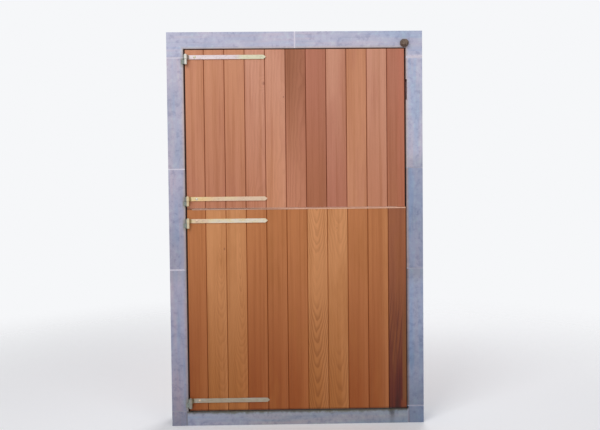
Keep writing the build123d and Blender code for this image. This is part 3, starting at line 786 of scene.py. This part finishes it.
def mortar_finish():
    """Struck lime mortar: grey low down, beside the right jamb and round the hinges' tangs."""
    made, tree, shader, place = principled("lime_mortar")
    grain = use_group(tree, MOTTLE, {"Vector": place, "Scale": 1.6})
    x, y, z = split(tree, place)
    side = calc(tree, "ABSOLUTE", x)
    on_right = step(tree, x, 0.3, 0.6)
    colour = mix(tree, step(tree, z, 0.3, 0.7), *MORTAR_TONES)
    colour = mark(tree, colour, RIGHT_MORTAR_TONE, on_right, step(tree, z, 2.0, 1.8), strength=0.8)
    for end in STRAP_ENDS:
        tang_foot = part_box(f"{end}_pintle")[0].z
        colour = mark(tree, colour, SEAL_TONE, step(tree, x, -ARRIS_X + 0.006, -ARRIS_X + 0.004),
                      step(tree, z, tang_foot - 0.003, tang_foot - 0.002),
                      step(tree, z, tang_foot + 0.040, tang_foot + 0.038))
    colour = tint(tree, colour, (0.86, 0.84, 0.86), on_right, step(tree, z, 2.0, 2.1))
    colour = tint(tree, colour, (0.62, 0.62, 0.62), step(tree, x, -0.3, -0.6), step(tree, z, 1.2, 1.1),
                  step(tree, side, ARRIS_X + 0.018, ARRIS_X + 0.008))
    # Painted shade on the mortar where it turns into the opening
    colour = tint(tree, colour, (0.20, 0.13, 0.10), in_opening(tree, y, 0.0025, 0.005),
                  step(tree, side, ARRIS_X + 0.006, ARRIS_X + 0.003))
    colour = layered(tree, colour, grain, (("Clouds", 0.35, 0.7, (0.86, 0.86, 0.86)),
                                           ("Grit", 0.5, 0.8, (0.80, 0.80, 0.80))))
    plug(tree, shader, {"Base Color": colour, "Roughness": 0.9})
    bump(tree, shader, grain["Grit"], depth=0.001)
    return made


dress("mortar_joints", mortar_finish())

# Metal

CREAM = srgb(224, 213, 194)
STRAW = srgb(226, 207, 160)
GOLD = srgb(234, 198, 140)
SAND = srgb(220, 192, 165)
CHALK = srgb(206, 192, 194)
LIME = srgb(204, 200, 172)
PUTTY = srgb(170, 158, 138)
# Painted shade on the side of a hinge's eye towards the stone
SHADED_EYE_TONE = srgb(136, 144, 136)
PEARL = srgb(208, 206, 192)
OYSTER = srgb(206, 186, 152)
IVORY = srgb(210, 194, 162)
PEWTER = srgb(142, 138, 128)
STEEL = srgb(172, 170, 158)


def zinc_finish(name, left, right, patch, seed, span=(-0.40, -0.20), eye=None):
    """Passivated zinc: a film that changes from left to right over a span, clouded. A hinge's has its
    eye's own tone, with painted shade: grey-green on the eye's side towards the stone, and dimmer in
    the crease where the strap leaves the eye."""
    made, tree, shader, place = principled(name)
    x = split(tree, place)[0]
    film = drawn_noise(tree, place, (9.0, 22.0, 22.0), 3.0, 0.6, (seed, seed, seed))
    haze = drawn_noise(tree, place, (60.0, 90.0, 90.0), 4.0, 0.6, (seed, 0.0, 0.0))
    colour = mix(tree, step(tree, x, *span), left, right)
    colour = mark(tree, colour, patch, step(tree, film, 0.48, 0.64, 0.0, 0.75))
    colour = tint(tree, colour, (0.86, 0.85, 0.82), step(tree, haze, 0.50, 0.72))
    if eye:
        colour = mark(tree, colour, eye, step(tree, x, AXIS_X + 0.0085, AXIS_X + 0.0060, 0.0, 0.85))
        # Painted shade on the eye's side towards the stone, with a ragged edge
        edge = plus(tree, x, times(tree, less(tree, haze, 0.5), 0.004))
        colour = mark(tree, colour, SHADED_EYE_TONE, step(tree, edge, AXIS_X - 0.0030, AXIS_X - 0.0065))
        # Painted shade in the crease where the strap leaves the eye
        colour = tint(tree, colour, (0.56, 0.54, 0.42), step(tree, x, AXIS_X + 0.0070, AXIS_X + 0.0090),
                      step(tree, x, AXIS_X + 0.023, AXIS_X + 0.016))
    plug(tree, shader, {"Base Color": colour, "Metallic": 0.35,
                        "Roughness": step(tree, haze, 0.3, 0.7, 0.38, 0.54)})
    bump(tree, shader, haze, depth=0.0001)
    return made


STRAP_ZINC = {
    "upper_top": zinc_finish("zinc_upper_top", CHALK, LIME, CHALK, 1.0, (-0.36, -0.30), PEARL),
    "upper_bottom": zinc_finish("zinc_upper_bottom", GOLD, SAND, STRAW, 4.0, (-0.60, -0.42), OYSTER),
    "lower_top": zinc_finish("zinc_lower_top", SAND, CREAM, STRAW, 7.0, (-0.54, -0.50), IVORY),
    "lower_bottom": zinc_finish("zinc_lower_bottom", PUTTY, PUTTY, STEEL, 9.0, eye=PEWTER),
}
FIXING_ZINC = zinc_finish("zinc_fixings", STRAW, STRAW, CREAM, 12.0)
COACH_BOLT_ZINC = {
    "upper": zinc_finish("zinc_upper_coach_bolts", LIME, LIME, CHALK, 13.0),
    "lower": zinc_finish("zinc_lower_coach_bolts", SAND, SAND, PUTTY, 13.0),
}
BOLT_ZINC = zinc_finish("zinc_sliding_bolts", STEEL, STEEL, CREAM, 15.0)

for end in STRAP_ENDS:
    dress(f"{end}_strap", STRAP_ZINC[end])
    dress(f"{end}_pintle", STRAP_ZINC[end])
for leaf in LEAVES:
    dress(f"{leaf}_coach_bolts", COACH_BOLT_ZINC[leaf])
    dress(f"{leaf}_sliding_bolt", BOLT_ZINC)
    dress(f"{leaf}_bolt_guide", BOLT_ZINC)


def strip_finish():
    """Dull galvanised strip, brighter towards the free edge."""
    made, tree, shader, place = principled("galvanised_strip")
    spangle = drawn_noise(tree, place, (60.0, 60.0, 60.0), 3.0, 0.6)
    length = drawn_noise(tree, place, (7.0, 1.0, 1.0))
    bright = step(tree, split(tree, place)[0], -0.16, 0.02)
    colour = mix(tree, bright, srgb(200, 163, 142), srgb(226, 184, 158))
    colour = tint(tree, colour, (0.92, 0.88, 0.86), step(tree, length, 0.45, 0.62))
    colour = tint(tree, colour, (0.92, 0.90, 0.90), step(tree, spangle, 0.45, 0.65))
    plug(tree, shader, {"Base Color": colour, "Metallic": 0.15,
                        "Roughness": step(tree, spangle, 0.3, 0.7, 0.48, 0.62)})
    return made


def iron_finish():
    """Weathered brown iron."""
    made, tree, shader, place = principled("weathered_iron")
    rust = use_group(tree, MOTTLE, {"Vector": place, "Scale": 3.0})
    colour = mix(tree, step(tree, rust["Blotches"], 0.4, 0.62), srgb(126, 108, 94), srgb(84, 66, 56))
    colour = tint(tree, colour, (0.70, 0.68, 0.66), step(tree, rust["Grit"], 0.5, 0.8))
    plug(tree, shader, {"Base Color": colour, "Metallic": 0.3, "Roughness": 0.75})
    bump(tree, shader, rust["Blotches"], depth=0.002)
    return made


dress("lower_capping_strip", strip_finish())
dress("lintel_stud", iron_finish())

# Screws and nails

# Heads: the radius and the height of the lower rim, then of the upper rim
STRAP_SCREW = (0.0032, -0.0045), (0.0050, -0.0002)
WOOD_SCREW = (0.0042, -0.0006), (0.0040, 0.0003)
PLATE_SCREW = (0.0036, -0.0002), (0.0024, 0.0016)
NAIL = (0.0026, -0.0004), (0.0022, 0.0004)
HEAD_SIDES = 16

# A head's cross, in parts of the upper radius: the first cut's distance from the rim, how far the
# cross reaches along an arm, beside one and between two, how much it narrows, and its depth
CROSS_RIM = 0.25
CROSS_REACH = (0.64, 0.30, 0.22)
CROSS_TAPER = 0.03
CROSS_DEPTH = 0.30

# Screws in a ledge: half the distance between a board's two, and what they keep from the ledge's
# ends, in a brace from the brace's ends, and from the guide plate
LEDGE_SCREW_X = 0.026
LEDGE_SCREW_Z = 0.024
LEDGE_SCREW_END = 0.02
BRACE_SCREW_END = 0.03
PLATE_CLEARANCE = 0.012

# Guide plate: its thickness, and its screws' distance from its ends and from its middle line
PLATE_THICKNESS = 0.003
PLATE_SCREW_END = 0.024
PLATE_SCREW_Z = 0.0165

NAIL_COUNT = 8
NAIL_END = 0.02         # from the strip's ends


def add_head(mesh, point, facing, rims, cross=True):
    """Head of a screw, with a cross cut in it, or of a nail: at point, looking along facing."""
    (low_radius, low), (high_radius, high) = rims
    others = set(mesh.verts)
    made = bmesh.ops.create_cone(mesh, cap_ends=True, segments=HEAD_SIDES, radius1=low_radius,
                                 radius2=high_radius, depth=high - low)
    bmesh.ops.translate(mesh, verts=made["verts"], vec=(0, 0, (high + low) / 2))
    faces = {f for v in made["verts"] for f in v.link_faces}
    top = max(faces, key=lambda f: f.calc_center_median().z)
    if cross:
        bmesh.ops.inset_region(mesh, faces=[top], thickness=high_radius * CROSS_RIM)
        for v in top.verts:
            turn = math.atan2(v.co.y, v.co.x) % (math.pi / 2)
            off_arm = min(turn, math.pi / 2 - turn) / (math.pi / 4)
            reach = high_radius * CROSS_REACH[round(off_arm * 2)]
            v.co.xy = v.co.xy.normalized() * reach
        bmesh.ops.inset_region(mesh, faces=[top], thickness=high_radius * CROSS_TAPER,
                               depth=-high_radius * CROSS_DEPTH)
    turned = Vector((0, 0, 1)).rotation_difference(Vector(facing)).to_matrix().to_4x4()
    new = [v for v in mesh.verts if v not in others]
    bmesh.ops.transform(mesh, matrix=Matrix.Translation(point) @ turned, verts=new)


def new_piece(mesh, name, material):
    """Turns the mesh into an object with one finish."""
    data = bpy.data.meshes.new(name)
    mesh.to_mesh(data)
    mesh.free()
    piece = bpy.data.objects.new(name, data)
    bpy.context.scene.collection.objects.link(piece)
    data.materials.append(material)
    return piece


def finish_piece(mesh, name, body, material):
    """Turns the mesh into an object that rides on a body."""
    bmesh.ops.recalc_face_normals(mesh, faces=mesh.faces[:])
    piece = new_piece(mesh, name, material)
    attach(piece, body)


def strap_screws(leaf, end):
    """A strap's three countersunk screws, sunk in its tapered holes."""
    mesh = bmesh.new()
    for distance in STRAP_SCREWS:
        at = (AXIS_X + distance, FACE_Y - STRAP_THICKNESS, middle_z(f"{leaf}_{end}_strap"))
        add_head(mesh, at, (0, -1, 0), STRAP_SCREW)
    finish_piece(mesh, f"{leaf}_{end}_strap_screws", f"{leaf}_leaf", STRAP_ZINC[f"{leaf}_{end}"])


def board_middles(leaf):
    """Middle of each board's face, between its joints."""
    boxes = [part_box(board_node(leaf, number)) for number in range(1, BOARD_COUNT + 1)]
    lefts = [box[0].x for box in boxes] + [boxes[-1][1].x]
    return [(a + b) / 2 for a, b in zip(lefts, lefts[1:])]


def wood_screws(leaf, ledges, braces):
    """Screws through the ledges and braces into the boards: two a board on a ledge, one on a brace."""
    mesh = bmesh.new()
    plate_low, plate_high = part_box(f"{leaf}_bolt_guide")
    for ledge in ledges:
        low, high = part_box(ledge)
        plated = low.z < middle_z(f"{leaf}_bolt_guide") < high.z
        for x in board_middles(leaf):
            for side in (-1, 1):
                screw_x = x + side * LEDGE_SCREW_X
                screw_z = middle_z(ledge) + side * LEDGE_SCREW_Z
                hidden = (plated and plate_low.x - PLATE_CLEARANCE < screw_x
                          < plate_high.x + PLATE_CLEARANCE)
                if low.x + LEDGE_SCREW_END < screw_x < high.x - LEDGE_SCREW_END and not hidden:
                    add_head(mesh, (screw_x, LEDGE_Y, screw_z), (0, 1, 0), WOOD_SCREW)
    for brace in braces:
        middle, slope = brace_line(brace)
        low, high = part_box(brace)
        for x in board_middles(leaf):
            z = middle.z + (x - middle.x) * slope
            if low.z + BRACE_SCREW_END < z < high.z - BRACE_SCREW_END:
                add_head(mesh, (x, LEDGE_Y, z), (0, 1, 0), WOOD_SCREW)
    finish_piece(mesh, f"{leaf}_wood_screws", f"{leaf}_leaf", FIXING_ZINC)


def plate_screws(leaf):
    """Four round-headed screws in the sliding bolt's guide plate."""
    mesh = bmesh.new()
    low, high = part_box(f"{leaf}_bolt_guide")
    for x in (low.x + PLATE_SCREW_END, high.x - PLATE_SCREW_END):
        for side in (-1, 1):
            at = (x, LEDGE_Y + PLATE_THICKNESS, middle_z(f"{leaf}_bolt_guide") + side * PLATE_SCREW_Z)
            add_head(mesh, at, (0, 1, 0), PLATE_SCREW)
    finish_piece(mesh, f"{leaf}_plate_screws", f"{leaf}_leaf", FIXING_ZINC)


def capping_nails():
    """Flat-headed nails along the top of the capping strip."""
    mesh = bmesh.new()
    low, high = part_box("lower_capping_strip")
    for number in range(NAIL_COUNT):
        x = low.x + NAIL_END + (high.x - low.x - 2 * NAIL_END) * number / (NAIL_COUNT - 1)
        add_head(mesh, (x, (FACE_Y + BACK_Y) / 2, high.z), (0, 0, 1), NAIL, cross=False)
    finish_piece(mesh, "capping_nails", "lower_leaf", BOLT_ZINC)


# Brush in the gap between the leaves

BRUSH_DEPTH = 0.004
BRUSH_INSET = 0.0025        # from the boards' outside face
BRUSH_END = 0.001           # short of the leaf's edges
BRUSH_CLEARANCE = 0.0005    # below the upper leaf


def bristle_finish():
    """Tan coir bristle, with painted shade at the hinge end that fades towards the free edge."""
    made, tree, shader, place = principled("draught_bristle")
    hairs = drawn_noise(tree, place, (900.0, 200.0, 60.0))
    shade_fades = step(tree, split(tree, place)[0], -0.34, -0.10)
    colour = mix(tree, shade_fades, srgb(150, 106, 84), srgb(206, 146, 112))
    colour = tint(tree, colour, (0.86, 0.82, 0.80), step(tree, hairs, 0.4, 0.6))
    plug(tree, shader, {"Base Color": colour, "Roughness": 0.95})
    bump(tree, shader, hairs, depth=0.0005)
    return made


def draught_brush():
    """Brush on the capping strip and past its hinge end, which closes the gap below the upper leaf."""
    mesh = bmesh.new()
    low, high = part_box("lower_capping_strip")
    hinge_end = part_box("lower_board_01")[0].x
    for left, right, foot in ((low.x, high.x - BRUSH_END, high.z),
                              (hinge_end + BRUSH_END, low.x, LOWER_TOP)):
        size = Vector((right - left, BRUSH_DEPTH, UPPER_BOTTOM - BRUSH_CLEARANCE - foot))
        middle = Vector(((left + right) / 2, FACE_Y + BRUSH_INSET + BRUSH_DEPTH / 2,
                         foot + size.z / 2))
        made = bmesh.ops.create_cube(mesh, size=1.0)
        bmesh.ops.scale(mesh, verts=made["verts"], vec=size)
        bmesh.ops.translate(mesh, verts=made["verts"], vec=middle)
    finish_piece(mesh, "draught_brush", "lower_leaf", bristle_finish())


for leaf in LEAVES:
    strap_screws(leaf, "top")
    strap_screws(leaf, "bottom")
    plate_screws(leaf)
for leaf in LEAVES:
    wood_screws(leaf, [ledge for ledge in LEDGES if ledge.startswith(leaf)],
                [brace for brace in BRACES if brace.startswith(leaf)])
capping_nails()
draught_brush()

# Floor, light and camera

FLOOR_TONE = srgb(250, 250, 251)
BACKDROP_TONE = srgb(246, 247, 249)
FLOOR_FADE = (1.5, 5.0)     # where the floor starts and ends its fade into the backdrop
FLOOR_MARGIN = 0.5          # beyond the fade
WORLD_TONE = srgb(250, 250, 255)
WORLD_LIGHT = 0.42

# Each lamp's place, width and watts
LAMPS = {
    "key_lamp": ((-2.2, -3.6, 4.6), 2.6, 118),
    "fill_lamp": ((3.0, -4.2, 2.4), 2.4, 38),
    "rear_lamp": ((1.6, 4.2, 3.8), 2.6, 110),
}

# The photograph's camera: eye height, a little to the left, turned and leaning by small angles
CAMERA_AT = Vector((-0.0273, -3.70, 1.3657))
CAMERA_YAW = 0.0137         # radians, to the right
CAMERA_PITCH = 0.028        # down
CAMERA_ROLL = -0.0103
CAMERA_FOCUS = 603.4        # focal length in pixels of a 600 pixel wide frame
FRAME_WIDTH = 600
SENSOR_WIDTH = 36.0         # mm


def floor():
    """Plain pale floor that fades into the backdrop, so that no horizon shows."""
    mesh = bmesh.new()
    bmesh.ops.create_grid(mesh, x_segments=1, y_segments=1, size=FLOOR_FADE[1] + FLOOR_MARGIN)
    made, tree, shader, place = principled("floor_paint")
    plug(tree, shader, {"Base Color": FLOOR_TONE, "Roughness": 0.9, "Specular IOR Level": 0.1})
    reach = put(tree, "ShaderNodeVectorMath", {0: place}, operation="LENGTH").outputs["Value"]
    clear = put(tree, "ShaderNodeBsdfTransparent", {})
    blend = put(tree, "ShaderNodeMixShader", {0: step(tree, reach, *FLOOR_FADE), 1: shader.outputs[0],
                                              2: clear.outputs[0]})
    end = next(n for n in tree.nodes if n.type == "OUTPUT_MATERIAL")
    plug(tree, end, {"Surface": blend.outputs[0]})
    piece = new_piece(mesh, "floor", made)


def world():
    """Pale all round: a plain backdrop for what is seen, and an even, softer light."""
    made = bpy.data.worlds.new("studio")
    made.use_nodes = True
    tree = made.node_tree
    tree.nodes.clear()
    path = put(tree, "ShaderNodeLightPath", {}).outputs
    seen = calc(tree, "MAXIMUM", path["Is Camera Ray"],
                calc(tree, "MAXIMUM", path["Is Glossy Ray"], path["Is Transmission Ray"]))
    lit = put(tree, "ShaderNodeBackground", {"Color": WORLD_TONE, "Strength": WORLD_LIGHT})
    shown = put(tree, "ShaderNodeBackground", {"Color": BACKDROP_TONE, "Strength": 1.0})
    blend = put(tree, "ShaderNodeMixShader", {0: seen, 1: lit.outputs[0], 2: shown.outputs[0]})
    put(tree, "ShaderNodeOutputWorld", {"Surface": blend.outputs[0]})
    bpy.context.scene.world = made


def lamp(name, place, target, size, watts):
    """Soft square lamp that looks at a point."""
    data = bpy.data.lights.new(name, "AREA")
    data.shape = "SQUARE"
    data.size = size
    data.energy = watts
    made = bpy.data.objects.new(name, data)
    made.location = place
    made.rotation_euler = (target - Vector(place)).to_track_quat("-Z", "Y").to_euler()
    bpy.context.scene.collection.objects.link(made)


def camera():
    """Camera at the photograph's place."""
    forward = Vector((math.sin(CAMERA_YAW) * math.cos(CAMERA_PITCH),
                      math.cos(CAMERA_YAW) * math.cos(CAMERA_PITCH), -math.sin(CAMERA_PITCH)))
    right = Vector((math.cos(CAMERA_YAW), -math.sin(CAMERA_YAW), 0))
    up = right.cross(forward)
    across = math.cos(CAMERA_ROLL) * right + math.sin(CAMERA_ROLL) * up
    upright = math.cos(CAMERA_ROLL) * up - math.sin(CAMERA_ROLL) * right
    data = bpy.data.cameras.new("camera")
    data.sensor_width = SENSOR_WIDTH
    data.lens = CAMERA_FOCUS * SENSOR_WIDTH / FRAME_WIDTH
    made = bpy.data.objects.new("camera", data)
    axes = Matrix((across, upright, -forward)).transposed().to_4x4()
    made.matrix_world = Matrix.Translation(CAMERA_AT) @ axes
    bpy.context.scene.collection.objects.link(made)
    bpy.context.scene.camera = made


floor()
world()
door_middle = (cad_box[0] + cad_box[1]) / 2
for name, (place, size, watts) in LAMPS.items():
    lamp(name, place, door_middle, size, watts)
camera()

bpy.context.scene.view_settings.view_transform = "Standard"
